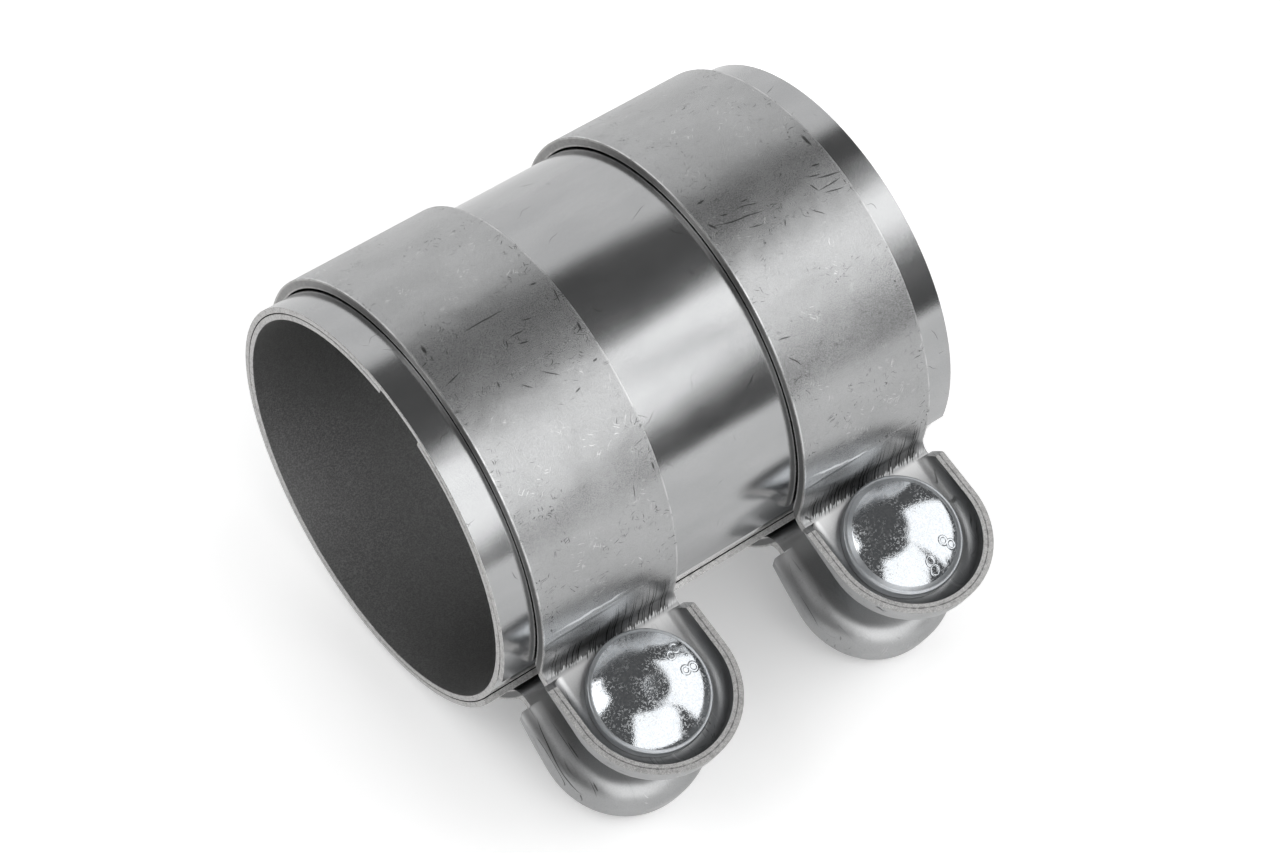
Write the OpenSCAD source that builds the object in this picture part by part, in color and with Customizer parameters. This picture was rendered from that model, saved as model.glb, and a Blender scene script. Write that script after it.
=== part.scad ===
// Exhaust slip clamp: a slotted double sleeve that slides over the joint of two pipes,
// closed by two steel bands whose cupped ears are drawn together by round-head bolts.
// X runs along the pipe, the origin is the middle of the bore, and the clamp lies on its side
// as it rests on a bench, with the ears pointing out and down along -Y.

/* [Sleeve] */
// Inside diameter of the inner sleeve, where the pipe ends go
bore_d = 67.5; // [50:0.5:90]
// Length of both sleeves
sleeve_length = 90; // [80:1:140]
// Sheet thickness of the inner sleeve
inner_sheet_t = 1; // [0.6:0.1:1.6]
// Sheet thickness of the outer sleeve
outer_sheet_t = 1; // [0.6:0.1:1.6]
// Width of the slot that lets the outer sleeve close
outer_slot_w = 11.6; // [6:0.2:14]
// How far the slot's middle sits above the middle of the ears
outer_slot_shift = 1; // [-2:0.1:2]
// Width of the gap between the rolled ends of the inner sleeve
inner_slot_w = 10; // [4:0.5:16]
// Where the inner gap lies, turned over the top from the ears
inner_slot_turn = 96.5; // [60:0.5:180]

/* [Bands] */
// Width of each clamp band
band_w = 26; // [20:0.5:34]
// Strip thickness of the bands
band_t = 1.7; // [1.2:0.1:2.4]
// Distance between the middles of the two bands
band_pitch = 51.6; // [46:0.2:56]

/* [Ears] */
// Open gap between the two ears of a band
ear_gap = 10.6; // [7:0.2:14]
// Radius of the concave bend where a band turns out into its ear
ear_bend_r = 2; // [1:0.1:3]
// Room between the bolt head and the turned-up rim
ear_room = 2.4; // [1.5:0.1:4]
// Inside radius between an ear's floor and its rim
rim_bend_r = 2.5; // [1.5:0.1:3.5]
// Height of the upper ear's rim above its floor, at the bolt
upper_rim_h = 3.4; // [2.5:0.1:5]
// Height of the lower ear's rim above its floor, at the bolt
lower_rim_h = 2.9; // [2.5:0.1:5]
// Slope of the upper rim, rising towards the tip
upper_rim_slope = 8.8; // [0:0.1:12]
// Slope of the lower rim, growing towards the tip
lower_rim_slope = 10.4; // [0:0.1:12]
// Extra radius of the lower ear over the upper one
lower_ear_extra = 0.5; // [0:0.1:1]
// Lean of the rim's two ends, away from the band
rim_end_slant = 32; // [0:1:45]

/* [Bolts] */
// Thread diameter of the bolts
bolt_d = 8; // [6:1:10]
// Length of the bolts under the head
bolt_length = 25; // [24:1:36]
// Diameter of the round head
head_d = 20.6; // [16:0.1:24]
// Height of the head from its seat to the crown
head_h = 4.8; // [3.5:0.1:6]
// Height of the thin rim round the head
head_rim_h = 1; // [0.6:0.1:1.6]
// Width of the flat ring between the rim and the dome
head_ring_w = 0.7; // [0.3:0.1:1.5]
// Radius of the shallow dish at the crown
head_dish_r = 3.1; // [1:0.1:5]
// Length of the square neck under the head
neck_length = 4; // [3:0.1:5]

/* [Nuts and washers] */
// Width across the flats of the nuts
nut_across = 13; // [12:0.5:18]
// Height of the nuts
nut_h = 6.5; // [5:0.1:9]
// Outside diameter of the washers
washer_d = 16; // [14:0.5:20]
// Thickness of the washers
washer_t = 1.6; // [1:0.1:2.5]

/* [Fits] */
// Radial gap between the two sleeves
sleeve_gap = 0.15; // [0.1:0.05:0.3]
// Radial gap between the outer sleeve and the bands
band_seat = 0.3; // [0.1:0.05:0.6]
// Radial running clearance between a bolt's thread and its nut
thread_clearance = 0.05; // [0.02:0.01:0.1]
// Clearance of the square neck in its hole, on each side
neck_clearance = 0.2; // [0.1:0.05:0.4]
// Radial clearance of a bolt in the lower ear's hole and in the washer
hole_clearance = 0.25; // [0.15:0.05:0.5]

/* [Pose] */
// How far the ears point down as the clamp lies on a bench
ear_drop = 24.5; // [0:0.5:45]

/* [Hidden] */
$fn = 96;

bore_r = bore_d / 2;
inner_sleeve_r = bore_r + inner_sheet_t;
outer_sleeve_bore_r = inner_sleeve_r + sleeve_gap;
outer_sleeve_r = outer_sleeve_bore_r + outer_sheet_t;
band_bore_r = outer_sleeve_r + band_seat;
band_r = band_bore_r + band_t;

// The ear's floor lies between these heights above the middle of the gap
ear_under = ear_gap / 2;
ear_floor = ear_under + band_t;

// Centre of the bend that joins the band to the ear, tangent to both
bend_z = ear_floor + ear_bend_r;
bend_reach = sqrt(pow(band_r + ear_bend_r, 2) - pow(bend_z, 2));

// How far the bend's circle dips into the faces that it meets
bend_blend = 0.002;

// The head's flat seat starts where the bend ends
head_r = head_d / 2;
head_edge_r = 0.5;
head_side_gap = 0.05;
bolt_reach = bend_reach + head_side_gap + head_r - head_edge_r;
ear_r = head_r + ear_room + band_t;

// The rim starts just past the bend, and its ends lean from a little above the floor
rim_margin = 0.4;
rim_start = bend_reach + rim_margin;
rim_end_lift = 0.15;
cup_height = 14;

// Overlap that fuses the strip with the ear's floor
seam = 0.1;

thread_r = bolt_d / 2;
thread_chamfer = 0.9;
neck_side = bolt_d;
neck_hole = neck_side + 2 * neck_clearance;
bolt_hole_r = thread_r + hole_clearance;
nut_chamfer = 0.4;
cut = 100;

sleeve_colour = "LightSlateGray";
band_colour = "Silver";
zinc_colour = "WhiteSmoke";

// Extrudes a section drawn in Y and Z along the pipe
module along_pipe(length) {
    rotate([90, 0, 90])
        linear_extrude(length, center = true)
            children();
}

// Turns a piece from its upright drawing into the pose in which the clamp lies
module as_it_lies() {
    rotate([ear_drop, 0, 0])
        children();
}

// Puts a piece on one of the two bands, -1 for the front one and 1 for the rear one
module at_band(side) {
    as_it_lies()
        translate([side * band_pitch / 2, 0, 0])
            children();
}

module ring_section(outer_r, inner_r) {
    difference() {
        circle(outer_r);
        circle(inner_r);
    }
}

// Rolled sheet, open along a straight slot of the given width
module rolled_sheet(outer_r, inner_r, slot_w, slot_turn, slot_shift) {
    along_pipe(sleeve_length)
        difference() {
            ring_section(outer_r, inner_r);
            rotate(180 - slot_turn)
                translate([0, slot_shift - slot_w / 2])
                    square([cut, slot_w]);
        }
}

module inner_sleeve() {
    color(sleeve_colour)
        as_it_lies()
            rolled_sheet(inner_sleeve_r, bore_r, inner_slot_w, inner_slot_turn, 0);
}

module outer_sleeve() {
    color(sleeve_colour)
        as_it_lies()
            mirror([0, 1, 0])
                rolled_sheet(outer_sleeve_r, outer_sleeve_bore_r, outer_slot_w, 180, outer_slot_shift);
}

// Corner between the round band and one ear, less the circle of the bend
module bend_corner(radius) {
    difference() {
        polygon([[0, 0], [-bend_reach, bend_z], [-bend_reach, 0]]);
        translate([-bend_reach, bend_z])
            circle(radius + bend_blend);
    }
}

// Everything inside the band's outer or inner face, with its two bends and the ears' strips
module band_outline(radius, half_gap, bend_r) {
    circle(radius);
    translate([-rim_start - seam, -half_gap])
        square([rim_start + seam, 2 * half_gap]);
    bend_corner(bend_r);
    mirror([0, 1])
        bend_corner(bend_r);
}

module band_section() {
    difference() {
        band_outline(band_r, ear_floor, ear_bend_r);
        band_outline(band_bore_r, ear_under, ear_bend_r + band_t);
    }
}

// Block with one rounded lower corner, for the outside and the inside of a pressed cup
module cup_block(width, height, corner_r) {
    square([width - corner_r, height]);
    translate([0, corner_r])
        square([width, height - corner_r]);
    translate([width - corner_r, corner_r])
        circle(corner_r);
}

// Half section of a cup: flat floor, round bend and upright rim
module cup_section(radius) {
    difference() {
        cup_block(radius, cup_height, rim_bend_r + band_t);
        translate([0, band_t])
            cup_block(radius - band_t, cup_height, rim_bend_r);
    }
}

// Pressed ear, drawn with its floor's underside at z = 0 and its tip along +Y
module ear_cup(radius, rim_h, slope) {
    straight = bolt_reach - rim_start;
    difference() {
        union() {
            rotate_extrude(angle = 180)
                cup_section(radius);
            rotate([90, 0, 0])
                linear_extrude(straight) {
                    cup_section(radius);
                    mirror([1, 0])
                        cup_section(radius);
                }
        }
        translate([0, 0, band_t + rim_h])
            rotate([slope, 0, 0])
                translate([-cut, -cut, 0])
                    cube([2 * cut, 2 * cut, cut]);
        translate([0, -straight, band_t + rim_end_lift])
            rotate([-rim_end_slant, 0, 0])
                translate([-cut, -cut, 0])
                    cube([2 * cut, cut, cut]);
    }
}

// Places an ear on the upright band, on the upper side
module placed_ear(radius, rim_h, slope) {
    translate([0, -bolt_reach, ear_under])
        rotate([0, 0, 180])
            ear_cup(radius, rim_h, slope);
}

// One folded strip: round band, two bends and two cupped ears
module band() {
    difference() {
        union() {
            along_pipe(band_w)
                band_section();
            placed_ear(ear_r, upper_rim_h, upper_rim_slope);
            mirror([0, 0, 1])
                placed_ear(ear_r + lower_ear_extra, lower_rim_h, lower_rim_slope);
        }
        translate([0, -bolt_reach, ear_floor])
            cube([neck_hole, neck_hole, 2 * band_t + ear_under], center = true);
        translate([0, -bolt_reach, -ear_floor - band_t])
            cylinder(h = ear_under + 2 * band_t, r = bolt_hole_r);
    }
}

module front_band() {
    color(band_colour)
        at_band(-1)
            band();
}

module rear_band() {
    color(band_colour)
        at_band(1)
            band();
}

// Half section of the round head: thin rim, flat ring, dome and shallow dish
module head_section() {
    dome_r = head_r - head_ring_w;
    dome_h = head_h - head_rim_h;
    sphere_r = (pow(dome_r, 2) + pow(dome_h, 2)) / (2 * dome_h);
    dish_sphere_r = 28;
    dish_drop = sphere_r - sqrt(pow(sphere_r, 2) - pow(head_dish_r, 2));
    square([head_r - head_edge_r, head_rim_h]);
    translate([0, head_edge_r])
        square([head_r, head_rim_h - head_edge_r]);
    translate([head_r - head_edge_r, head_edge_r])
        circle(head_edge_r);
    difference() {
        intersection() {
            translate([0, head_h - sphere_r])
                circle(sphere_r);
            square([dome_r, head_h]);
        }
        translate([0, head_h - dish_drop + sqrt(pow(dish_sphere_r, 2) - pow(head_dish_r, 2))])
            circle(dish_sphere_r);
        translate([-cut, 0])
            square([cut, cut]);
    }
}

// Round-head bolt with its seat at z = 0 and its thread along -Z
module round_head_bolt() {
    root_r = thread_r - thread_chamfer;
    rotate_extrude()
        head_section();
    translate([-neck_side / 2, -neck_side / 2, -neck_length])
        cube([neck_side, neck_side, neck_length + head_rim_h / 2]);
    rotate_extrude()
        polygon([[0, 0], [thread_r, 0], [thread_r, thread_chamfer - bolt_length],
            [root_r, -bolt_length], [0, -bolt_length]]);
}

module front_bolt() {
    color(zinc_colour)
        at_band(-1)
            translate([0, -bolt_reach, ear_floor])
                round_head_bolt();
}

module rear_bolt() {
    color(zinc_colour)
        at_band(1)
            translate([0, -bolt_reach, ear_floor])
                round_head_bolt();
}

// Flat washer, from z = 0 down
module washer() {
    translate([0, 0, -washer_t])
        difference() {
            cylinder(h = washer_t, r = washer_d / 2);
            translate([0, 0, -washer_t])
                cylinder(h = 3 * washer_t, r = bolt_hole_r);
        }
}

module front_washer() {
    color(zinc_colour)
        at_band(-1)
            translate([0, -bolt_reach, -ear_floor])
                washer();
}

module rear_washer() {
    color(zinc_colour)
        at_band(1)
            translate([0, -bolt_reach, -ear_floor])
                washer();
}

// Hexagon nut with chamfered corners and a countersunk bore, from z = 0 down
module nut() {
    bore = thread_r + thread_clearance;
    corner_r = nut_across / 2 / cos(30);
    corner_drop = (corner_r - nut_across / 2 + nut_chamfer) * tan(30);
    chamfer_r = nut_across / 2 - nut_chamfer;
    translate([0, 0, -nut_h])
        difference() {
            intersection() {
                cylinder(h = nut_h, r = corner_r, $fn = 6);
                rotate_extrude()
                    polygon([[0, 0], [chamfer_r, 0], [corner_r, corner_drop],
                        [corner_r, nut_h - corner_drop], [chamfer_r, nut_h], [0, nut_h]]);
            }
            translate([0, 0, -nut_h])
                cylinder(h = 3 * nut_h, r = bore);
            rotate_extrude()
                polygon([[0, -nut_chamfer], [bore + 2 * nut_chamfer, -nut_chamfer], [bore, nut_chamfer],
                    [0, nut_chamfer]]);
        }
}

module front_nut() {
    color(zinc_colour)
        at_band(-1)
            translate([0, -bolt_reach, -ear_floor - washer_t])
                nut();
}

module rear_nut() {
    color(zinc_colour)
        at_band(1)
            translate([0, -bolt_reach, -ear_floor - washer_t])
                nut();
}

inner_sleeve();
outer_sleeve();
front_band();
rear_band();
front_bolt();
rear_bolt();
front_washer();
rear_washer();
front_nut();
rear_nut();
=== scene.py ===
import math
from collections import namedtuple

import bmesh
import bpy
from mathutils import Matrix, Vector


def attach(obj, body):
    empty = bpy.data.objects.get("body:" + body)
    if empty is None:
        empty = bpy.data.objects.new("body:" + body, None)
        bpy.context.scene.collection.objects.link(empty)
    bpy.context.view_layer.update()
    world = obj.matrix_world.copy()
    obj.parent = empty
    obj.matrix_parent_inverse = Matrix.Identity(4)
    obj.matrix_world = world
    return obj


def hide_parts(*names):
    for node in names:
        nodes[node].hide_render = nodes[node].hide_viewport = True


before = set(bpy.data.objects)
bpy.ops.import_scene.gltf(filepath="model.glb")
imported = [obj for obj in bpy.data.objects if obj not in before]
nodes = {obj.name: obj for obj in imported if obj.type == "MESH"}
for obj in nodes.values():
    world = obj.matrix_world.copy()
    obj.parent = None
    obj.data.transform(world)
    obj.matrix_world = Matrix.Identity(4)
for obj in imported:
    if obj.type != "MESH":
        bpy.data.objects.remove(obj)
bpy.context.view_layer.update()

# Sizes of the clamp in metres, in the upright drawing frame: the pipe along X, the ears along -Y
MM = 0.001
EAR_DROP = math.radians(24.5)
BAND_PITCH = 51.6 * MM
BOLT_REACH = 48.7217 * MM
EAR_FLOOR = 7.0 * MM
GROUND_Z = -37.92 * MM

# Where the sheared faces lie: how large they are, how far out and how far from the ears' middle
SHEARED_AREA = 20.0 * MM * MM
RING_OUT = 38.0 * MM
SLOT_OUT_LOW = 34.0 * MM
SLOT_OUT_HIGH = 36.5 * MM
RIM_OUT = 39.1 * MM
RIM_UP = 7.6 * MM

# Rounding of the sheets' edges, and how the CAD's triangles are joined before it
BAND_EDGE_ROUND = 0.5 * MM
SLEEVE_EDGE_ROUND = 0.12 * MM
SHARP_EDGE = math.radians(30.0)
SAME_PLANE = math.radians(0.4)
SAME_POINT = 0.002 * MM

# Bolt head: a rim with rounded edges, and a dome that may be dented at its crown
HEAD_R = 10.3 * MM
HEAD_H = 4.75 * MM
HEAD_FOOT_ROUND = 0.35 * MM
HEAD_RIM_H = 1.9 * MM
HEAD_RIM_ROUND = 0.4 * MM
HEAD_RING_W = 0.45 * MM
DOME_R = HEAD_R - HEAD_RING_W
DOME_H = HEAD_H - HEAD_RIM_H
DOME_SPHERE_R = (DOME_R ** 2 + DOME_H ** 2) / (2 * DOME_H)
DENT_R = 3.1 * MM
DENT_SPHERE_R = 90.0 * MM
DENT_BLEND = 1.3 * MM
HEAD_STEPS = 128

# Square neck and thread
NECK_SIDE = 8.0 * MM
NECK_LENGTH = 4.0 * MM
NECK_LET_IN = 0.4 * MM
BOLT_LENGTH = 25.0 * MM
THREAD_R = 4.0 * MM
THREAD_DEPTH = 0.72 * MM
THREAD_PITCH = 1.25 * MM
THREAD_LET_IN = 0.3 * MM
THREAD_TAPER = 1.0 * MM
THREAD_FADE = 1.5 * MM
THREAD_STEPS = 40
ROWS_PER_TURN = 8

# Figures on the head: an 8 is two loops, each a reach from the bolt's axis and a radius
FIGURE_BEAD = 0.28 * MM
FIGURE_LOOPS = ((6.15 * MM, 0.72 * MM), (7.80 * MM, 0.80 * MM))
DOT_REACH = 8.2 * MM
DOT_R = 0.32 * MM

# Places on the clamp in millimetres, as the finishes read them
BORE_R = 33.75
INNER_SLEEVE_R = 34.75
OUTER_SLEEVE_R = 35.9
BAND_R = 37.9
BAND_MIDDLE = 25.8
BAND_HALF = 13.0
BEND_START = 31.87
BOLT_OUT = 48.72
RIM_SHEAR_R = 13.45

# The studio: its lamps stand on one sphere, and the ceiling glows dimly round them
LAMP_DISTANCE = 1.8
LAMP_STEPS = 10
CEILING = 0.13
CEILING_R = 4.0
FLOOR_HALF = 6.0
SHADOW_REACH = 0.09
HORIZON_START = 0.4
HORIZON_END = 1.2
WHITE = (1.0, 1.0, 1.0, 1.0)

# The camera: its lens, its place and its three axes, fitted to the photograph
LENS = 101.25
SENSOR_WIDTH = 36.0
NEAREST = 0.01
CAMERA_PLACE = (-0.22925, -0.31239, 0.44327)
CAMERA_RIGHT = (0.79557, -0.60586, 0.0)
CAMERA_UP = (0.46123, 0.60565, 0.64842)
CAMERA_BACK = (-0.39286, -0.51587, 0.76128)

LIE = Matrix.Rotation(EAR_DROP, 4, "X")
SIDES = {"front": -1, "rear": 1}


def at_bolt(side):
    """Place of a bolt's seat: its own Z is the bolt's axis, its X the pipe's axis."""
    return LIE @ Matrix.Translation((side * BAND_PITCH / 2, -BOLT_REACH, EAR_FLOOR))


# Node trees

# Place on a rolled sheet: laid flat, along the pipe, out to the ears, up, round it, off its axis
Sheet = namedtuple("Sheet", "flat along out up round_it radius")


class Nodes:
    """Adds nodes to a tree, and links whatever is given as a socket."""

    def add(self, kind, inputs=(), **settings):
        made = self.tree.nodes.new(kind)
        for key, value in settings.items():
            setattr(made, key, value)
        for key, value in dict(inputs).items():
            socket = made.inputs[key]
            if isinstance(value, bpy.types.NodeSocket):
                self.tree.links.new(value, socket)
            else:
                socket.default_value = value
        return made

    def math(self, operation, *values):
        inputs = dict(enumerate(values))
        return self.add("ShaderNodeMath", inputs, operation=operation).outputs[0]

    def product(self, *values):
        found = values[0]
        for value in values[1:]:
            found = self.math("MULTIPLY", found, value)
        return found

    def strongest(self, *values):
        found = values[0]
        for value in values[1:]:
            found = self.math("MAXIMUM", found, value)
        return found

    def span(self, value, low, high, to_low=0.0, to_high=1.0, smooth=True):
        """Value between low and high, carried over to the span from to_low to to_high."""
        kind = "SMOOTHSTEP" if smooth else "LINEAR"
        inputs = {0: value, 1: low, 2: high, 3: to_low, 4: to_high}
        made = self.add("ShaderNodeMapRange", inputs, interpolation_type=kind, clamp=True)
        return made.outputs[0]

    def mix_value(self, share, first, second):
        made = self.add("ShaderNodeMix", {0: share, 2: first, 3: second}, data_type="FLOAT")
        return made.outputs[0]

    def vector(self, x=0.0, y=0.0, z=0.0):
        return self.add("ShaderNodeCombineXYZ", {0: x, 1: y, 2: z}).outputs[0]

    def parts(self, vector):
        return self.add("ShaderNodeSeparateXYZ", {0: vector}).outputs


class Tree(Nodes):
    """Node tree of one finish."""

    def __init__(self, name):
        self.material = bpy.data.materials.new(name)
        self.material.use_nodes = True
        self.tree = self.material.node_tree
        self.tree.nodes.clear()
        self.output = self.tree.nodes.new("ShaderNodeOutputMaterial")

    def place(self):
        return self.add("ShaderNodeTexCoord").outputs["Object"]

    def mix(self, share, first, second):
        made = self.add("ShaderNodeMix", {0: share, 6: first, 7: second}, data_type="RGBA")
        return made.outputs[2]

    def noise(self, vector, scale, detail=2.0, roughness=0.5):
        inputs = {"Vector": vector, "Scale": scale, "Detail": detail, "Roughness": roughness}
        return self.add("ShaderNodeTexNoise", inputs).outputs["Fac"]

    def scaled(self, vector, scale, turn=(0.0, 0.0, 0.0), shift=(0.0, 0.0, 0.0)):
        inputs = {"Vector": vector, "Location": shift, "Rotation": turn, "Scale": scale}
        return self.add("ShaderNodeMapping", inputs).outputs[0]

    def framed(self, vector, centre, turn, size):
        """Place measured from a centre, in a turned frame, in parts of the size."""
        inputs = {"Vector": vector, "Location": centre, "Rotation": (0.0, 0.0, turn), "Scale": size}
        return self.add("ShaderNodeMapping", inputs, vector_type="TEXTURE").outputs[0]

    def warped(self, vector, scale, amount):
        """The same place, wandering a little, so that marks along it come out curved."""
        inputs = {"Vector": vector, "Scale": scale, "Detail": 1.0}
        wander = self.add("ShaderNodeTexNoise", inputs).outputs["Color"]
        inputs = {0: wander, 1: (0.5, 0.5, 0.5)}
        centred = self.add("ShaderNodeVectorMath", inputs, operation="SUBTRACT").outputs[0]
        inputs = {0: centred, 1: (amount, amount, 0.0), 2: vector}
        return self.add("ShaderNodeVectorMath", inputs, operation="MULTIPLY_ADD").outputs[0]

    def upright(self):
        """Place on the clamp in its upright drawing frame, in millimetres."""
        return self.scaled(self.place(), (1000.0,) * 3, turn=(-EAR_DROP, 0.0, 0.0))

    def unrolled(self, place, radius_mm):
        """Place on a sheet rolled to the radius, its round_it measured from the ears."""
        parts = self.parts(place)
        out = self.math("MULTIPLY", parts[1], -1.0)
        turn = self.math("ARCTAN2", parts[2], out)
        round_it = self.math("MULTIPLY", turn, radius_mm)
        square = self.math("MULTIPLY_ADD", parts[2], parts[2], self.math("MULTIPLY", out, out))
        radius = self.math("SQRT", square)
        flat = self.vector(parts[0], round_it)
        return Sheet(flat, parts[0], out, parts[2], round_it, radius)

    def strokes(self, flat, turn, length, width, share):
        """Fine marks in one direction, one at most in each cell of length by width: 1 on one."""
        turned = self.framed(flat, (0.0, 0.0, 0.0), turn, (length, width, 1.0))
        made = self.add("ShaderNodeTexVoronoi", {"Vector": turned, "Scale": 1.0}, feature="F1")
        pick = self.add("ShaderNodeSeparateColor", {0: made.outputs["Color"]}).outputs[0]
        picked = self.math("LESS_THAN", pick, share)
        return self.product(picked, self.span(made.outputs["Distance"], 0.2, 0.36, 1.0, 0.0))

    def scratch(self, flat, x, y, turn, length, width):
        """One long mark, fading towards its ends: 1 on it."""
        turned = self.framed(flat, (x, y, 0.0), turn, (length / 2, width / 2, 1.0))
        made = self.add("ShaderNodeVectorMath", {0: turned}, operation="LENGTH")
        return self.span(made.outputs["Value"], 0.4, 1.0, 1.0, 0.0)

    def bump(self, height, strength, distance, under=None):
        inputs = {"Height": height, "Strength": strength, "Distance": distance}
        if under is not None:
            inputs["Normal"] = under
        return self.add("ShaderNodeBump", inputs).outputs[0]

    def glow(self, strength):
        return self.add("ShaderNodeEmission", {"Color": WHITE, "Strength": strength}).outputs[0]

    def finish(self, shader):
        self.tree.links.new(shader, self.output.inputs["Surface"])
        return self.material

    def metal(self, tone, rough, normal):
        inputs = {"Base Color": tone, "Metallic": 1.0, "Roughness": rough, "Normal": normal}
        return self.finish(self.add("ShaderNodeBsdfPrincipled", inputs).outputs[0])


class Shape(Nodes):
    """Geometry Nodes tree of one piece, with a named input for each size."""

    def __init__(self, name, sizes):
        self.tree = bpy.data.node_groups.new(name, "GeometryNodeTree")
        sockets = self.tree.interface
        sockets.new_socket(name="Geometry", in_out="INPUT", socket_type="NodeSocketGeometry")
        self.identifiers = {}
        for size in sizes:
            made = sockets.new_socket(name=size, in_out="INPUT", socket_type="NodeSocketFloat")
            self.identifiers[size] = made.identifier
        sockets.new_socket(name="Geometry", in_out="OUTPUT", socket_type="NodeSocketGeometry")
        self.size = self.tree.nodes.new("NodeGroupInput").outputs
        self.output = self.tree.nodes.new("NodeGroupOutput")

    def index(self):
        return self.add("GeometryNodeInputIndex").outputs[0]

    def position(self):
        return self.parts(self.add("GeometryNodeInputPosition").outputs[0])

    def off_axis(self):
        x, y, z = self.position()
        return self.math("SQRT", self.math("MULTIPLY_ADD", x, x, self.math("MULTIPLY", y, y)))

    def placed(self, geometry, position):
        inputs = {"Geometry": geometry, "Position": position}
        return self.add("GeometryNodeSetPosition", inputs).outputs[0]

    def moved(self, geometry, shift=(0.0, 0.0, 0.0), scale=(1.0, 1.0, 1.0)):
        inputs = {"Geometry": geometry, "Translation": shift, "Scale": scale}
        return self.add("GeometryNodeTransform", inputs).outputs[0]

    def joined(self, *parts):
        made = self.tree.nodes.new("GeometryNodeJoinGeometry")
        for part in parts:
            self.tree.links.new(part, made.inputs[0])
        return made.outputs[0]

    def realized(self, geometry):
        return self.add("GeometryNodeRealizeInstances", {0: geometry}).outputs[0]

    def circle(self, steps, radius):
        inputs = {"Resolution": steps, "Radius": radius}
        return self.add("GeometryNodeCurvePrimitiveCircle", inputs).outputs[0]

    def turned_grid(self, steps, rows):
        """Grid to be wrapped round Z: the grid, each point's share of the turn, and its row."""
        inputs = {"Vertices X": steps + 1, "Vertices Y": rows}
        grid = self.add("GeometryNodeMeshGrid", inputs).outputs["Mesh"]
        column = self.math("FLOOR", self.math("DIVIDE", self.index(), rows))
        row = self.math("SUBTRACT", self.index(), self.math("MULTIPLY", column, rows))
        return grid, self.math("DIVIDE", column, steps), row

    def wrapped(self, grid, share, radius, height):
        """Puts a grid's points at their places round the axis, and closes the seam and poles."""
        angle = self.math("MULTIPLY", share, 2 * math.pi)
        x = self.math("MULTIPLY", radius, self.math("COSINE", angle))
        y = self.math("MULTIPLY", radius, self.math("SINE", angle))
        inputs = {"Geometry": self.placed(grid, self.vector(x, y, height)), "Distance": 0.001 * MM}
        return self.add("GeometryNodeMergeByDistance", inputs).outputs[0]

    def painted(self, geometry, material, where=True):
        inputs = {"Geometry": geometry, "Selection": where, "Material": material}
        return self.add("GeometryNodeSetMaterial", inputs).outputs[0]


# Finishes


def grey(level, blue=0.0):
    return (level * (1.0 - blue), level, level * (1.0 + blue), 1.0)


def sleeve_steel():
    """Smooth rolled sheet, near mirror outside and dull in the bore."""
    t = Tree("sleeve_steel")
    place = t.upright()
    on = t.unrolled(place, OUTER_SLEEVE_R)
    cloud = t.noise(t.scaled(on.flat, (0.05, 0.12, 1.0)), 1.0, 3.0, 0.55)
    grain = t.noise(place, 5.5, 3.0, 0.75)
    bent = t.warped(on.flat, 0.3, 3.0)
    marks = t.strongest(
        t.strokes(bent, 0.5, 5.0, 0.22, 0.010),
        t.strokes(bent, -0.9, 4.0, 0.25, 0.010),
        t.strokes(bent, 1.6, 3.0, 0.25, 0.006),
    )
    bore = t.span(on.radius, BORE_R + 0.03, BORE_R + 0.35, 1.0, 0.0)
    mottled = t.mix_value(0.4, t.span(cloud, 0.3, 0.7), t.span(grain, 0.38, 0.62))
    tone = t.mix(mottled, grey(0.405, 0.012), grey(0.485, 0.008))
    tone = t.mix(t.math("MULTIPLY", marks, 0.6), tone, grey(0.12))
    speck = t.noise(place, 3.4, 3.0, 0.85)
    dull = t.mix(t.span(speck, 0.40, 0.66), grey(0.26), grey(0.40))
    tone = t.mix(bore, tone, dull)
    # Painted reflection: the inner sheet is painted pale at the bottom of the outer one's slot, in
    # place of the bright floor it would reflect there
    slot_painted_reflection = t.product(
        t.span(on.radius, INNER_SLEEVE_R - 0.55, INNER_SLEEVE_R - 0.45),
        t.span(on.radius, INNER_SLEEVE_R + 0.05, INNER_SLEEVE_R + 0.1, 1.0, 0.0),
        t.span(on.out, 30.0, 31.0),
    )
    tone = t.mix(slot_painted_reflection, tone, grey(0.80))
    rough = t.math("MULTIPLY_ADD", grain, 0.05, t.span(cloud, 0.3, 0.7, 0.095, 0.135))
    rough = t.mix_value(bore, rough, t.span(speck, 0.4, 0.7, 0.46, 0.58))
    normal = t.bump(grain, 0.5, 0.012 * MM)
    wave = t.noise(t.scaled(on.flat, (0.05, 0.09, 1.0)), 1.0, 1.0, 0.4)
    normal = t.bump(wave, 1.0, 0.09 * MM, under=normal)
    return t.metal(tone, rough, normal)


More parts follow.
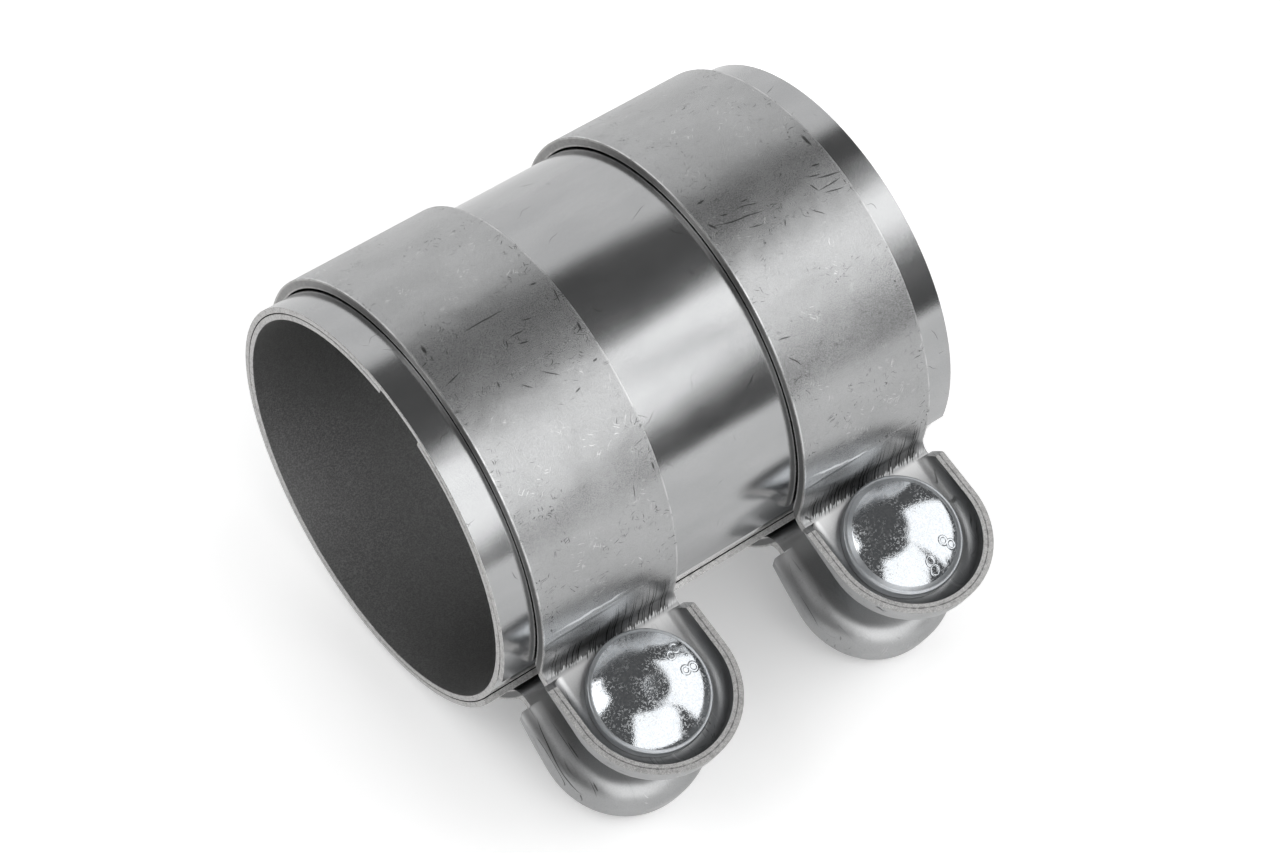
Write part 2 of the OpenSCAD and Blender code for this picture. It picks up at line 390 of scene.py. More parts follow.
def bend_streaks(t, on, across):
    """Black drag marks where the press turned the strip out: 1 on a mark, and painted shade over
    their strip, deepest at the bend's foot.
    """
    height = t.math("ABSOLUTE", on.up)
    past = t.math("SUBTRACT", t.math("SUBTRACT", on.out, height), BEND_START)
    lean = t.math("MAXIMUM", t.math("SUBTRACT", on.out, 36.5), 0.0)
    line = t.vector(t.math("MULTIPLY_ADD", lean, 0.6, on.along))
    strand = t.noise(t.scaled(line, (2.7, 1.0, 1.0)), 1.0, 1.0, 0.5)
    tips = t.noise(t.scaled(line, (2.6, 1.0, 1.0), shift=(7.0, 0.0, 0.0)), 1.0, 2.0, 0.6)
    tips = t.span(tips, 0.3, 0.7)
    far = t.span(across, -1.5, 2.5)
    begin = t.math("MULTIPLY_ADD", far, -5.0, t.math("MULTIPLY_ADD", tips, -4.5, -4.0))
    begun = t.math("ADD", begin, t.math("MULTIPLY_ADD", far, 4.5, 1.5))
    start = t.span(past, begin, begun)
    end = t.math("MULTIPLY_ADD", tips, 1.7, -1.1)
    finish = t.span(past, t.math("SUBTRACT", end, 0.35), end, 1.0, 0.0)
    here = t.product(
        t.span(height, 6.5, 6.9),
        t.span(on.radius, BAND_R - 0.9, BAND_R - 0.5),
        t.span(on.out, 32.0, 33.5),
    )
    inside = t.span(t.math("ABSOLUTE", across), 10.5, 12.0, 1.0, 0.2)
    streaks_and_shade_zone = t.product(start, finish, here, inside)
    streak = t.product(streaks_and_shade_zone, t.span(strand, 0.52, 0.57))
    return streak, t.product(streaks_and_shade_zone, t.span(past, -4.5, 0.2, 0.30, 0.94))


def scuffs(t, place, flat, bent, across, side):
    """Fine dark marks in clusters, most near the edges: where it is busy, marks and smudges."""
    edge = t.span(t.math("ABSOLUTE", across), BAND_HALF - 4.5, BAND_HALF - 0.5)
    shifted = t.scaled(flat, (0.13, 0.16, 1.0), shift=(0.0, side * 3.0, 0.0))
    busy = t.noise(shifted, 1.0, 3.0, 0.7)
    busy = t.span(t.math("MULTIPLY_ADD", edge, 0.07, busy), 0.50, 0.66)
    dark = t.strongest(
        t.strokes(bent, 0.2, 2.2, 0.20, 0.20),
        t.strokes(bent, 1.3, 1.8, 0.22, 0.18),
        t.strokes(bent, -0.7, 1.6, 0.20, 0.17),
        t.strokes(bent, 0.8, 0.6, 0.40, 0.11),
    )
    dark = t.product(dark, t.math("MULTIPLY_ADD", busy, 0.92, 0.08))
    spots = t.span(t.noise(place, 1.6, 4.0, 0.75), 0.56, 0.70)
    smudge = t.product(spots, t.span(busy, 0.2, 0.9), 0.34)
    drawn = t.warped(flat, 0.25, 0.8)
    for mark in LONG_MARKS[side]:
        dark = t.strongest(dark, t.scratch(drawn, *mark))
    return busy, dark, smudge


def band_steel(side):
    """Rolled strip, satin, scuffed in clusters and dragged at the bends, with painted shade,
    painted highlights and painted glints.
    """
    t = Tree("front_band_steel" if side < 0 else "rear_band_steel")
    place = t.upright()
    on = t.unrolled(place, BAND_R)
    flat = on.flat
    across = t.math("SUBTRACT", on.along, side * BAND_MIDDLE)
    cloud = t.noise(t.scaled(flat, (0.07, 0.10, 1.0)), 1.0, 3.0, 0.6)
    grain = t.noise(place, 4.5, 3.0, 0.8)
    bent = t.warped(flat, 0.35, 2.4)
    top = t.span(on.radius, BAND_R - 0.3, BAND_R - 0.1)
    busy, dark, smudge = scuffs(t, place, flat, bent, across, side)
    # Painted glints: short scratches in scattered patches, painted pale as if they caught the light
    shifted = t.scaled(flat, (0.15, 0.15, 1.0), shift=(3.0, 9.0, 0.0))
    painted_glint_patches = t.span(t.noise(shifted, 1.0, 2.0, 0.6), 0.52, 0.64)
    rubs = t.strongest(
        t.strokes(bent, 0.9, 2.0, 0.20, 0.22),
        t.strokes(bent, -0.5, 1.4, 0.22, 0.18),
    )
    bright = t.product(painted_glint_patches, rubs)
    streak, streaks_and_shade_zone = bend_streaks(t, on, across)
    mottled = t.mix_value(0.45, t.span(cloud, 0.3, 0.7), t.span(grain, 0.38, 0.62))
    tone = t.mix(mottled, grey(0.385, 0.008), grey(0.485, 0.008))
    tone = t.mix(t.product(top, smudge), tone, grey(0.17))
    tone = t.mix(t.product(top, dark, 0.85), tone, grey(0.06))
    # Painted glints: the scattered scratches painted pale
    tone = t.mix(t.product(top, bright, 0.6), tone, grey(0.80))
    # Painted shade over the strip of the bend streaks, deepest at the bend's foot; then the black
    # streaks on it
    tone = t.mix(streaks_and_shade_zone, tone, grey(0.035))
    tone = t.mix(t.product(streak, 0.92), tone, grey(0.015))
    # Pale along the ring's edges: partly wear, partly a painted edge highlight, weaker on the edge
    # towards +X; and matt where the press worked it
    side_of = t.span(t.math("ABSOLUTE", across), BAND_HALF - 0.34, BAND_HALF - 0.16)
    at_edge = t.product(side_of, t.span(on.out, 37.0, 38.5, 1.0, 0.0))
    wear_and_edge_highlight = t.product(
        at_edge,
        t.span(busy, 0.0, 0.8, 0.75, 0.25),
        t.span(across, -3.0, 3.0, 1.0, 0.6),
    )
    tone = t.mix(wear_and_edge_highlight, tone, grey(0.78))
    matt = t.span(t.noise(place, 15.0, 1.0, 0.5), 0.36, 0.66)
    rough = t.mix_value(matt, t.span(cloud, 0.3, 0.7, 0.19, 0.23), 0.46)
    height = t.math("ABSOLUTE", on.up)
    past = t.math("SUBTRACT", on.out, height)
    pressed = t.strongest(t.span(past, 24.0, 30.0), t.span(on.out, 38.0, 39.5))
    rough = t.mix_value(pressed, rough, 0.40)
    # Painted highlights: a pale strip at the bend's foot by the ear floor, and a pale line along
    # the crease where the strip starts to bend
    painted_bend_highlight = t.product(
        t.span(past, 31.7, 32.6),
        t.span(on.out, 39.0, 43.5, 1.0, 0.0),
        t.span(height, 7.5, 7.9, 1.0, 0.0),
    )
    tone = t.mix(t.product(painted_bend_highlight, 0.6), tone, grey(0.88))
    painted_crease_highlight = t.scratch(t.warped(flat, 0.4, 1.0), *PAINTED_CREASE_LINES[side])
    tone = t.mix(t.product(painted_crease_highlight, 0.85), tone, grey(0.92))
    rough = t.mix_value(painted_crease_highlight, rough, 0.30)
    normal = t.bump(grain, 0.5, 0.006 * MM)
    # The strip stands a little proud of the sleeve near its ears, with a soft crease
    drawn = t.warped(flat, 0.2, 0.5)
    crease = t.scratch(drawn, side * BAND_MIDDLE - 3.0, 15.7, 0.03, 26.0, 1.3)
    soft = t.noise(t.scaled(flat, (0.16, 0.20, 1.0)), 1.0, 1.0, 0.4)
    proud = t.product(soft, t.span(on.round_it, 14.0, 26.0, 1.3, 0.5))
    swell = t.math("MULTIPLY_ADD", crease, 0.35, proud)
    normal = t.bump(swell, 1.0, 0.16 * MM, under=normal)
    return t.metal(tone, rough, normal)


def cut_edge():
    """Sheared edges, worn bright and rough, with painted shade on the bands' sides."""
    t = Tree("cut_edge_steel")
    place = t.upright()
    speck = t.noise(place, 7.0, 2.0, 0.8)
    coarse = t.noise(place, 1.3, 3.0, 0.7)
    tone = t.mix(t.span(speck, 0.34, 0.66), grey(0.46, -0.01), grey(0.76, -0.01))
    tone = t.mix(t.span(coarse, 0.48, 0.66, 0.0, 0.50), tone, grey(0.30, -0.01))
    # The dark line that the shear left along the top of an ear's rim
    on = t.unrolled(place, BAND_R)
    across = t.math("SUBTRACT", t.math("ABSOLUTE", on.along), BAND_MIDDLE)
    past_bolt = t.math("MAXIMUM", t.math("SUBTRACT", on.out, BOLT_OUT), 0.0)
    square = t.math("MULTIPLY", past_bolt, past_bolt)
    rim = t.math("SQRT", t.math("MULTIPLY_ADD", across, across, square))
    shear = t.math("ABSOLUTE", t.math("SUBTRACT", rim, RIM_SHEAR_R))
    shear = t.product(
        t.span(shear, 0.04, 0.16, 1.0, 0.0),
        t.span(on.out, 38.2, 38.6),
        t.span(coarse, 0.30, 0.55, 0.3, 1.0),
    )
    tone = t.mix(t.product(shear, 0.75), tone, grey(0.10))
    # Painted shade: the sides of a band's ring are darkened, the more so towards the ears
    strip_side = t.product(
        t.span(on.radius, BAND_R - 1.6, BAND_R - 1.3),
        t.span(on.radius, BAND_R - 0.5, BAND_R - 0.2, 1.0, 0.0),
    )
    painted_side_shade = t.product(strip_side, t.span(on.out, -10.0, 34.0, 0.55, 0.95))
    tone = t.mix(painted_side_shade, tone, grey(0.17))
    normal = t.bump(speck, 0.6, 0.06 * MM)
    return t.metal(tone, 0.48, normal)


def zinc(name, level, rough_low, rough_high, pebble, worn=0.0):
    """Bright plating with a fine orange peel, and matt specks where it is worn."""
    t = Tree(name)
    place = t.place()
    mottle = t.noise(place, 1100.0, 1.0, 0.5)
    fine = t.noise(place, 5000.0, 1.0, 0.5)
    speck = t.noise(place, 2600.0, 2.0, 0.65)
    patch = t.noise(t.scaled(place, (1.0, 1.0, 1.0), turn=(0.6, 0.0, 0.9)), 330.0, 3.0, 0.65)
    spotted = t.span(speck, 0.40, 0.56)
    tone = t.mix(spotted, grey(level * (1.0 - 0.16 * worn), 0.05), grey(level, 0.03))
    rough = t.span(fine, 0.35, 0.65, rough_high, rough_low)
    matt = t.product(t.span(speck, 0.50, 0.60), t.span(patch, 0.36, 0.62, 0.25, 1.0), worn)
    rough = t.mix_value(matt, rough, 0.42)
    normal = t.bump(t.math("MULTIPLY_ADD", mottle, 0.25, fine), 1.0, pebble)
    return t.metal(tone, rough, normal)


# Long marks on a band in millimetres: place along the pipe and round it, turn, length and width
FRONT_MARKS = (
    (-25.8, 69.6, 0.0, 10.5, 0.32), (-35.8, 63.7, 0.2, 4.5, 0.26), (-30.2, 59.4, -1.7, 1.4, 0.40),
    (-26.3, 57.1, -0.8, 2.6, 0.34), (-22.0, 57.1, -0.7, 4.0, 0.28), (-13.8, 67.4, -1.8, 3.6, 0.34),
    (-13.8, 61.2, -1.7, 2.4, 0.60), (-36.5, 70.2, -1.6, 2.4, 0.80), (-20.2, 66.3, -0.4, 2.2, 0.30),
    (-23.0, 65.0, 0.0, 3.4, 0.30), (-14.6, 55.4, 0.2, 1.1, 0.45), (-19.7, 52.8, 0.3, 1.5, 0.36),
    (-13.8, 36.5, -1.5, 1.7, 0.50), (-18.0, 34.3, -1.8, 3.2, 0.24), (-22.9, 63.2, -0.2, 2.0, 0.34),
    (-25.3, 64.3, 1.3, 1.6, 0.30), (-15.4, 71.0, 2.9, 1.6, 0.50),
)
REAR_MARKS = (
    (19.2, 63.7, -0.2, 11.5, 0.34), (21.5, 65.0, -0.2, 5.0, 0.26), (20.7, 61.4, -0.3, 3.2, 0.24),
    (36.4, 62.8, -0.2, 6.0, 0.34), (35.7, 61.4, 0.1, 5.5, 0.30), (35.8, 60.2, -0.2, 4.6, 0.34),
    (33.1, 62.0, -1.2, 2.2, 0.34), (34.2, 63.8, -0.2, 3.0, 0.34), (35.7, 65.2, -0.2, 2.0, 0.40),
    (37.4, 69.9, -1.5, 3.0, 0.80), (15.7, 69.3, 0.0, 1.7, 0.60), (14.5, 64.7, -1.1, 2.2, 0.60),
    (17.5, 65.6, -0.4, 2.0, 0.34), (21.7, 66.0, 0.0, 1.8, 0.34), (31.1, 58.5, -0.8, 3.2, 0.30),
    (25.3, 59.4, -2.0, 1.5, 0.30), (15.4, 43.7, -0.1, 3.0, 0.34), (15.6, 39.7, -0.9, 4.0, 0.28),
)
LONG_MARKS = {-1: FRONT_MARKS, 1: REAR_MARKS}

# The painted highlight on the crease at each band's upper bend, given in the same way
PAINTED_CREASE_LINES = {-1: (-29.6, 16.9, -0.01, 17.0, 0.9), 1: (20.6, 16.3, -0.17, 16.0, 0.9)}

SLEEVE = sleeve_steel()
EDGE = cut_edge()
ZINC = zinc("zinc_head", 0.60, 0.03, 0.07, 0.009 * MM, worn=0.85)
ZINC_RING = zinc("zinc_ring", 0.50, 0.34, 0.44, 0.008 * MM, worn=0.3)
ZINC_DULL = zinc("zinc_small", 0.66, 0.2, 0.36, 0.03 * MM)


# Pieces


def new_object(name, bm, materials):
    mesh = bpy.data.meshes.new(name)
    bm.to_mesh(mesh)
    bm.free()
    for material in materials:
        mesh.materials.append(material)
    made = bpy.data.objects.new(name, mesh)
    bpy.context.scene.collection.objects.link(made)
    return made


def new_piece(name, bm, materials, replaced):
    piece = new_object(name, bm, materials)
    for polygon in piece.data.polygons:
        polygon.use_smooth = True
    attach(piece, "clamp")
    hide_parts(replaced)
    return piece


def is_cut(face):
    """Whether a face was sheared: the sheets' and strips' sides, or the top of an ear's rim."""
    middle = LIE.inverted() @ face.calc_center_median()
    normal = LIE.inverted().to_3x3() @ face.normal
    out, height = -middle.y, abs(middle.z)
    large = face.calc_area() > SHEARED_AREA
    at_end = large and abs(normal.x) > 0.99 and out < RING_OUT
    at_slot = large and abs(normal.z) > 0.99 and SLOT_OUT_LOW < out < SLOT_OUT_HIGH
    level = abs(normal.z) > 0.8 and abs(normal.x) < 0.1
    on_rim = level and out > RIM_OUT and height > RIM_UP
    return at_end or at_slot or on_rim


def softened(node, name, materials, width, rounded, segments=2):
    """Copy of a CAD solid with its edges rounded, the rounding in the material numbered rounded."""
    bm = bmesh.new()
    bm.from_mesh(nodes[node].data)
    bmesh.ops.remove_doubles(bm, verts=bm.verts, dist=SAME_POINT)
    bmesh.ops.dissolve_limit(bm, angle_limit=SAME_PLANE, verts=bm.verts, edges=bm.edges)
    for face in bm.faces:
        if is_cut(face):
            face.material_index = 1
    piece = new_piece(name, bm, materials, node)
    bevel = piece.modifiers.new("edges", "BEVEL")
    bevel.width = width
    bevel.segments = segments
    bevel.limit_method = "ANGLE"
    bevel.angle_limit = SHARP_EDGE
    bevel.miter_outer = "MITER_ARC"
    bevel.use_clamp_overlap = True
    bevel.material = rounded
    weighted = piece.modifiers.new("even shading", "WEIGHTED_NORMAL")
    weighted.keep_sharp = True


# Bolts


def dome_z(r):
    """Height of the head's dome above its seat."""
    return HEAD_H - DOME_SPHERE_R + math.sqrt(DOME_SPHERE_R ** 2 - r ** 2)


def rounded_edge(centre_r, centre_z, radius, start, picks):
    """Points on a rounding of the head's outline, in tenths of a half turn from the start."""
    turns = [start + i * math.pi / 10 for i in picks]
    return [(centre_r + radius * math.cos(a), centre_z + radius * math.sin(a)) for a in turns]


def head_profile(dented):
    """Outline of the head from its seat over the rim to its crown, which may be dented flat."""
    foot, rim = HEAD_FOOT_ROUND, HEAD_RIM_ROUND
    points = [(0.0, 0.0), (HEAD_R - foot, 0.0)]
    points += rounded_edge(HEAD_R - foot, foot, foot, -math.pi / 2, range(1, 6))
    points += rounded_edge(HEAD_R - rim, HEAD_RIM_H - rim, rim, 0.0, range(0, 6))
    points.append((DOME_R + 0.05 * MM, HEAD_RIM_H))
    steps = 20
    for i in range(steps):
        r = DOME_R + (DENT_R + DENT_BLEND - DOME_R) * i / (steps - 1)
        points.append((r, dome_z(r)))
    # A soft shoulder from the dome into the dent, whose floor is part of a large sphere
    hub = dome_z(DENT_R) + math.sqrt(DENT_SPHERE_R ** 2 - DENT_R ** 2)
    bottom = hub - math.sqrt(DENT_SPHERE_R ** 2 - (DENT_R - DENT_BLEND) ** 2)
    outer, inner = Vector(points[-1]), Vector((DENT_R - DENT_BLEND, bottom))
    corner = Vector((DENT_R, dome_z(DENT_R)))
    steps = 8
    for i in range(1, steps):
        u = i / steps
        points.append(tuple(outer * (1 - u) ** 2 + corner * 2 * u * (1 - u) + inner * u * u))
    for i in range(steps):
        r = (DENT_R - DENT_BLEND) * (1 - i / steps)
        points.append((r, hub - math.sqrt(DENT_SPHERE_R ** 2 - r ** 2)))
    points.append((0.0, hub - DENT_SPHERE_R))
    if not dented:
        points = [(r, z if z < HEAD_RIM_H + 0.01 * MM else dome_z(r)) for r, z in points]
    return points


BOLT_SIZES = {
    "Head radius": HEAD_R,
    "Head height": HEAD_H,
    "Dome radius": DOME_SPHERE_R,
    "Satin ring": 0.8 * MM,
    "Neck side": NECK_SIDE,
    "Neck length": NECK_LENGTH,
    "Bolt length": BOLT_LENGTH,
    "Thread radius": THREAD_R,
    "Thread depth": THREAD_DEPTH,
    "Thread pitch": THREAD_PITCH,
    "Figure bead": FIGURE_BEAD,
    "Figures turn": 0.0,
    "Figures spread": 0.3,
}


def turned_head(t, profile_points):
    """The head's profile, which comes in as the tree's geometry, turned round the bolt's axis."""
    grid, share, row = t.turned_grid(HEAD_STEPS, profile_points)
    along = t.add("GeometryNodeInputPosition").outputs[0]
    inputs = {"Geometry": t.size["Geometry"], "Value": along, "Index": row}
    sample = t.add("GeometryNodeSampleIndex", inputs, data_type="FLOAT_VECTOR").outputs[0]
    radius, _, height = t.parts(sample)
    return t.wrapped(grid, share, radius, height)


def threaded_shank(t):
    """Rolled thread from under the neck to the bolt's tapered end, a closed screw surface."""
    top = t.math("SUBTRACT", THREAD_LET_IN, t.size["Neck length"])
    bottom = t.math("MULTIPLY", t.size["Bolt length"], -1.0)
    length = BOLT_LENGTH - NECK_LENGTH + THREAD_LET_IN
    levels = int(length / (THREAD_PITCH / ROWS_PER_TURN))
    grid, share, row = t.turned_grid(THREAD_STEPS, levels + 3)
    # The first and the last row close the ends at the axis
    level = t.math("MAXIMUM", t.math("SUBTRACT", row, 1.0), 0.0)
    level = t.math("MINIMUM", level, float(levels))
    rise = t.product(t.math("SUBTRACT", top, bottom), t.math("DIVIDE", level, float(levels)))
    height = t.math("ADD", bottom, rise)
    turns = t.math("DIVIDE", rise, t.size["Thread pitch"])
    phase = t.math("FRACT", t.math("SUBTRACT", turns, share))
    ridge = t.math("ABSOLUTE", t.math("SUBTRACT", phase, 0.5))
    ridge = t.math("MULTIPLY_ADD", ridge, -2.0, 1.0)
    ridge = t.span(ridge, 0.12, 0.86, smooth=False)
    crest = t.math("SUBTRACT", t.size["Thread radius"], 0.03 * MM)
    root = t.math("SUBTRACT", t.size["Thread radius"], t.size["Thread depth"])
    end = t.math("SUBTRACT", root, 0.2 * MM)
    radius = t.mix_value(ridge, root, crest)
    radius = t.mix_value(t.span(rise, 0.0, THREAD_TAPER, smooth=False), end, radius)
    plain = t.math("SUBTRACT", t.size["Thread radius"], 0.1 * MM)
    below_top = t.math("SUBTRACT", top, height)
    radius = t.mix_value(t.span(below_top, 0.0, THREAD_FADE, smooth=False), plain, radius)
    past_first = t.math("GREATER_THAN", row, 0.5)
    inside = t.math("MULTIPLY", past_first, t.math("LESS_THAN", row, levels + 1.5))
    return t.wrapped(grid, share, t.product(radius, inside), height)


def square_neck(t):
    """Square neck that keeps the bolt from turning, let a little into the head."""
    side = t.size["Neck side"]
    length = t.math("ADD", t.size["Neck length"], NECK_LET_IN)
    inputs = {"Size": t.vector(side, side, length)}
    cube = t.add("GeometryNodeMeshCube", inputs).outputs["Mesh"]
    middle = t.math("MULTIPLY_ADD", length, -0.5, NECK_LET_IN)
    return t.moved(cube, shift=t.vector(0.0, 0.0, middle))


def strength_class(t):
    """The generic strength class of such bolts, 8.8, as round beads laid on the dome."""
    bead = t.circle(10, t.size["Figure bead"])
    loops = []
    for reach, size in FIGURE_LOOPS:
        ring = t.moved(t.circle(36, size), shift=(reach, 0.0, 0.0), scale=(1.0, 0.94, 1.0))
        inputs = {"Curve": ring, "Profile Curve": bead}
        loops.append(t.add("GeometryNodeCurveToMesh", inputs).outputs[0])
    eight = t.joined(*loops)
    # One figure on each side of the dot
    points = t.add("GeometryNodePoints", {"Count": 2}).outputs[0]
    side = t.math("MULTIPLY_ADD", t.index(), -2.0, 1.0)
    turn = t.math("MULTIPLY_ADD", side, t.size["Figures spread"], t.size["Figures turn"])
    inputs = {"Points": points, "Instance": eight, "Rotation": t.vector(0.0, 0.0, turn)}
    figures = t.add("GeometryNodeInstanceOnPoints", inputs).outputs[0]
    inputs = {"Segments": 16, "Rings": 10, "Radius": DOT_R}
    dot = t.add("GeometryNodeMeshUVSphere", inputs).outputs["Mesh"]
    aside = t.vector(
        t.math("MULTIPLY", t.math("COSINE", t.size["Figures turn"]), DOT_REACH),
        t.math("MULTIPLY", t.math("SINE", t.size["Figures turn"]), DOT_REACH),
    )
    flat = t.realized(t.joined(figures, t.moved(dot, shift=aside)))
    # Each point is lifted on to the dome, and the beads are flattened by half
    x, y, z = t.position()
    dome = t.size["Dome radius"]
    reach = t.off_axis()
    drop = t.math("MULTIPLY", dome, dome)
    drop = t.math("SUBTRACT", drop, t.math("MULTIPLY", reach, reach))
    crown = t.math("SUBTRACT", t.size["Head height"], dome)
    crown = t.math("ADD", crown, t.math("SQRT", drop))
    lift = t.math("MULTIPLY_ADD", z, 0.5, t.math("MULTIPLY", t.size["Figure bead"], -0.02))
    return t.placed(flat, t.vector(x, y, t.math("ADD", crown, lift)))


def bolt_tree(profile_points):
    t = Shape("cup_square_bolt", BOLT_SIZES)
    head, figures = turned_head(t, profile_points), strength_class(t)
    whole = t.realized(t.joined(head, figures, square_neck(t), threaded_shank(t)))
    whole = t.painted(whole, ZINC)
    # The head's edge and all that lies under the head are satin
    inner = t.math("SUBTRACT", t.size["Head radius"], t.size["Satin ring"])
    ring = t.math("GREATER_THAN", t.off_axis(), inner)
    satin = t.math("ADD", ring, t.math("LESS_THAN", t.position()[2], 0.0))
    whole = t.painted(whole, ZINC_RING, t.math("GREATER_THAN", satin, 0.5))
    t.tree.links.new(whole, t.output.inputs["Geometry"])
    return t


def bolt(side_name, tree, dented, sizes):
    """One bolt from the shared tree, made a plain mesh at its place in the band's ears."""
    outline = bpy.data.meshes.new("head_profile")
    points = [(radius, 0.0, height) for radius, height in head_profile(dented)]
    outline.from_pydata(points, [(i, i + 1) for i in range(len(points) - 1)], [])
    draft = bpy.data.objects.new("bolt_draft", outline)
    bpy.context.scene.collection.objects.link(draft)
    modifier = draft.modifiers.new("bolt", "NODES")
    modifier.node_group = tree.tree
    for size, value in {**BOLT_SIZES, **sizes}.items():
        modifier[tree.identifiers[size]] = value
    finished = draft.evaluated_get(bpy.context.evaluated_depsgraph_get())
    made = bpy.data.meshes.new_from_object(finished)
    bpy.data.objects.remove(draft)
    bm = bmesh.new()
    bm.from_mesh(made)
    bmesh.ops.transform(bm, matrix=at_bolt(SIDES[side_name]), verts=bm.verts)
    bmesh.ops.recalc_face_normals(bm, faces=bm.faces)
    finishes = [finish for finish in made.materials if finish]
    for face in bm.faces:
        face.material_index = finishes.index(made.materials[face.material_index])
    new_piece(side_name + "_bolt_zinc", bm, finishes, side_name + "_bolt")


# How each bolt came to rest as it was tightened, and how wide its figures and satin ring are
BOLTS = {
    "front": {
        "Figures turn": math.radians(13.0),
        "Figures spread": math.radians(15.5),
    },
    "rear": {
        "Figures turn": math.radians(-65.5),
        "Figures spread": math.radians(21.0),
        "Satin ring": 1.3 * MM,
    },
}

# The whole clamp

BOLT = bolt_tree(len(head_profile(True)))
for side_name, side in SIDES.items():
    band = side_name + "_band"
    finishes = [band_steel(side), EDGE]
    softened(band, band + "_strip", finishes, BAND_EDGE_ROUND, 0, segments=3)
    bolt(side_name, BOLT, side_name == "front", BOLTS[side_name])
    for small in ("washer", "nut"):
        node = nodes[side_name + "_" + small]
        node.data.materials.clear()
        node.data.materials.append(ZINC_DULL)
for sheet in ("inner_sleeve", "outer_sleeve"):
    softened(sheet, sheet + "_sheet", [SLEEVE, EDGE], SLEEVE_EDGE_ROUND, 1)


# Floor, lamps and camera


def add_stage(name, bm, material, seen=True):
    made = new_object(name, bm, [material])
    made.visible_camera = seen


def floor():
    """White table: plain white to the eye and to metal, where it keeps the clamp's shadow, deepened
    by painted shade: near the clamp its glow is dimmed by ambient occlusion.
    """
    t = Tree("studio_floor")
    path = t.add("ShaderNodeLightPath").outputs
    paint = t.add("ShaderNodeBsdfDiffuse", {"Color": grey(0.90)}).outputs[0]
    thin = t.add("ShaderNodeBsdfDiffuse", {"Color": grey(0.80)}).outputs[0]
    dim = t.glow(0.33)
    mirrored = t.add("ShaderNodeAddShader", {0: dim, 1: thin}).outputs[0]
    # Painted shade: the glow seen by the camera is dimmed where the clamp closes off the space
    # round it
    inputs = {"Distance": SHADOW_REACH}
    ao_painted_shade = t.add("ShaderNodeAmbientOcclusion", inputs, samples=6).outputs["AO"]
    near = t.math("MULTIPLY_ADD", ao_painted_shade, 0.46, 0.20)
    # Away from the clamp the table turns plain white, so that no horizon shows
    away = t.add("ShaderNodeVectorMath", {0: t.place()}, operation="LENGTH").outputs["Value"]
    near = t.mix_value(t.span(away, HORIZON_START, HORIZON_END), near, 1.0)
    shown = t.add("ShaderNodeAddShader", {0: t.glow(near), 1: thin}).outputs[0]
    in_metal = t.strongest(path["Is Glossy Ray"], path["Is Transmission Ray"])
    hidden = t.add("ShaderNodeMixShader", {0: in_metal, 1: paint, 2: mirrored}).outputs[0]
    inputs = {0: path["Is Camera Ray"], 1: hidden, 2: shown}
    material = t.finish(t.add("ShaderNodeMixShader", inputs).outputs[0])
    bm = bmesh.new()
    bmesh.ops.create_grid(bm, x_segments=1, y_segments=1, size=FLOOR_HALF)
    bmesh.ops.translate(bm, verts=bm.verts, vec=(0.0, 0.0, GROUND_Z))
    add_stage("studio_floor", bm, material)


def ceiling():
    """Dim studio round the lamps, which the camera looks through."""
    t = Tree("studio_ceiling")
    material = t.finish(t.glow(CEILING))
    material.cycles.emission_sampling = "NONE"
    bm = bmesh.new()
    bmesh.ops.create_uvsphere(bm, u_segments=32, v_segments=16, radius=CEILING_R)
    add_stage("studio_ceiling", bm, material, seen=False)


def toward(azimuth, elevation, distance):
    a, e = math.radians(azimuth), math.radians(elevation)
    place = (math.cos(e) * math.cos(a), math.cos(e) * math.sin(a), math.sin(e))
    return Vector(place) * distance


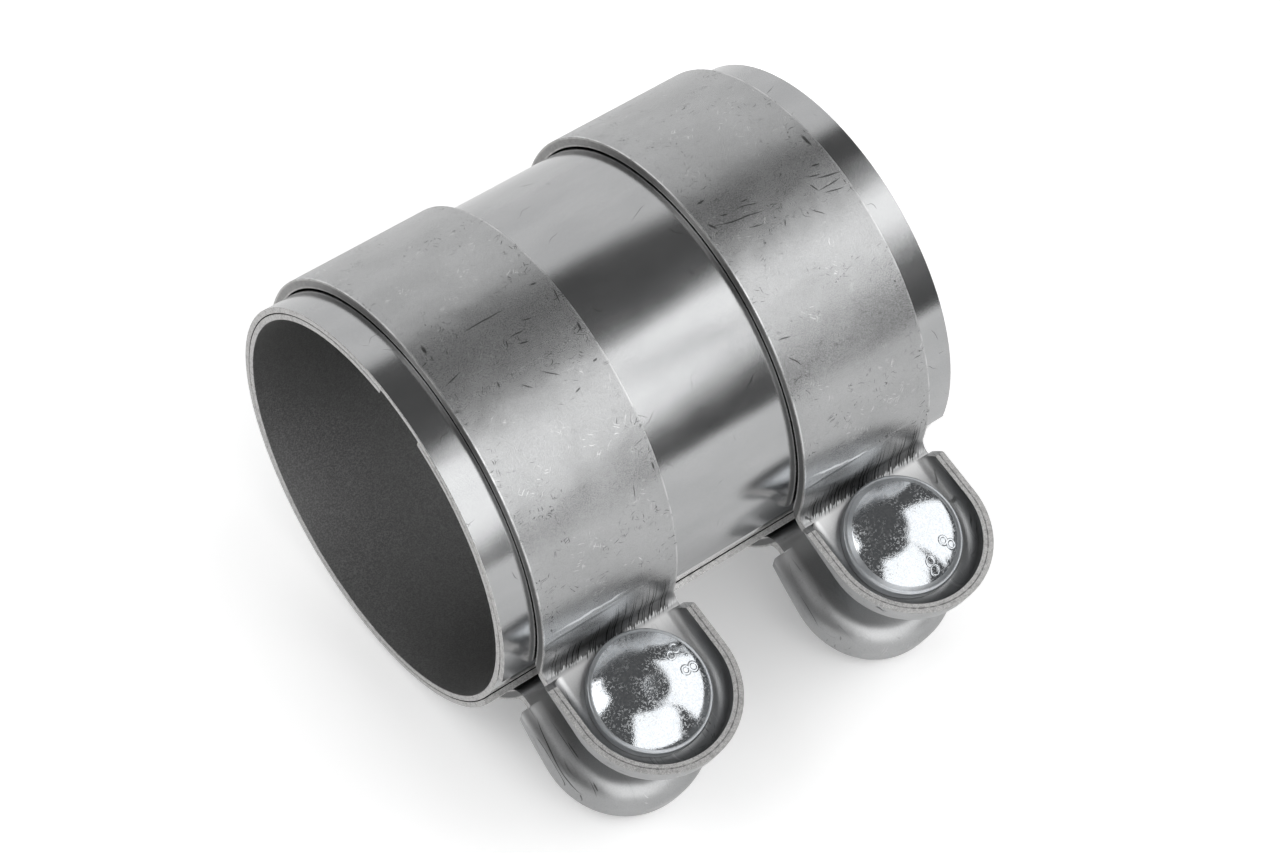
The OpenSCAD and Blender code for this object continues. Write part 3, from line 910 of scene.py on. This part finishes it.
def softbox(name, strength, soft, rows):
    """Glowing cloth bent round the clamp. Each row, from the lowest up, is an elevation and its
    left and right azimuth in degrees; soft gives the share that fades to the ceiling's level at
    the left, right, lower and upper side."""
    t = Tree(name)
    parts = t.parts(t.add("ShaderNodeUVMap", uv_map="cloth").outputs[0])
    share = t.product(
        t.span(parts[0], 0.0, soft[0]),
        t.span(parts[0], 1.0 - soft[1], 1.0, 1.0, 0.0),
        t.span(parts[1], 0.0, soft[2]),
        t.span(parts[1], 1.0 - soft[3], 1.0, 1.0, 0.0),
    )
    material = t.finish(t.glow(t.mix_value(share, CEILING, strength)))
    bm = bmesh.new()
    cloth = bm.loops.layers.uv.new("cloth")
    low, high = rows[0][0], rows[-1][0]
    grid = []
    for elevation, left, right in rows:
        v = (elevation - low) / (high - low)
        row = []
        for i in range(LAMP_STEPS + 1):
            u = i / LAMP_STEPS
            place = toward(left * (1 - u) + right * u, elevation, LAMP_DISTANCE)
            row.append((bm.verts.new(place), (u, v)))
        grid.append(row)
    for under, over in zip(grid, grid[1:]):
        for i in range(LAMP_STEPS):
            corners = (under[i], under[i + 1], over[i + 1], over[i])
            face = bm.faces.new([vert for vert, place in corners])
            for loop, (vert, place) in zip(face.loops, corners):
                loop[cloth].uv = place
    add_stage(name, bm, material, seen=False)


# Each lamp: its name, its strength, its soft sides and its rows
LAMPS = (
    (
        "softbox_front", 1.85, (0.05, 0.05, 0.10, 0.08),
        ((-3, -122, -75), (8, -122, -72), (18, -121, -66), (26, -120, -60),
         (34, -119, -55), (46, -118, -54), (56, -115, -53)),
    ),
    (
        "softbox_right", 1.8, (0.03, 0.06, 0.08, 0.11),
        ((0, -49, 7), (20, -51, 7), (40, -54, 5), (61, -57, 2)),
    ),
    (
        "softbox_left", 2.4, (0.06, 0.08, 0.10, 0.10),
        ((42, 192, 124), (55, 198, 124), (68, 194, 130)),
    ),
    (
        "backdrop_far", 0.94, (0.1, 0.1, 0.02, 0.09),
        ((-2, 112, 24), (20, 112, 24), (40, 112, 24), (59, 110, 28)),
    ),
)


def studio():
    world = bpy.data.worlds.new("studio")
    bpy.context.scene.world = world
    world.use_nodes = True
    background = world.node_tree.nodes["Background"]
    background.inputs["Color"].default_value = WHITE
    background.inputs["Strength"].default_value = 1.0
    floor()
    ceiling()
    for lamp in LAMPS:
        softbox(*lamp)


def camera():
    data = bpy.data.cameras.new("camera")
    data.lens = LENS
    data.sensor_width = SENSOR_WIDTH
    data.clip_start = NEAREST
    made = bpy.data.objects.new("camera", data)
    bpy.context.scene.collection.objects.link(made)
    axes = [Vector(axis) for axis in (CAMERA_RIGHT, CAMERA_UP, CAMERA_BACK)]
    turn = Matrix(axes).transposed().to_4x4()
    made.matrix_world = Matrix.Translation(CAMERA_PLACE) @ turn
    bpy.context.scene.camera = made


studio()
camera()
bpy.context.scene.view_settings.view_transform = "Standard"
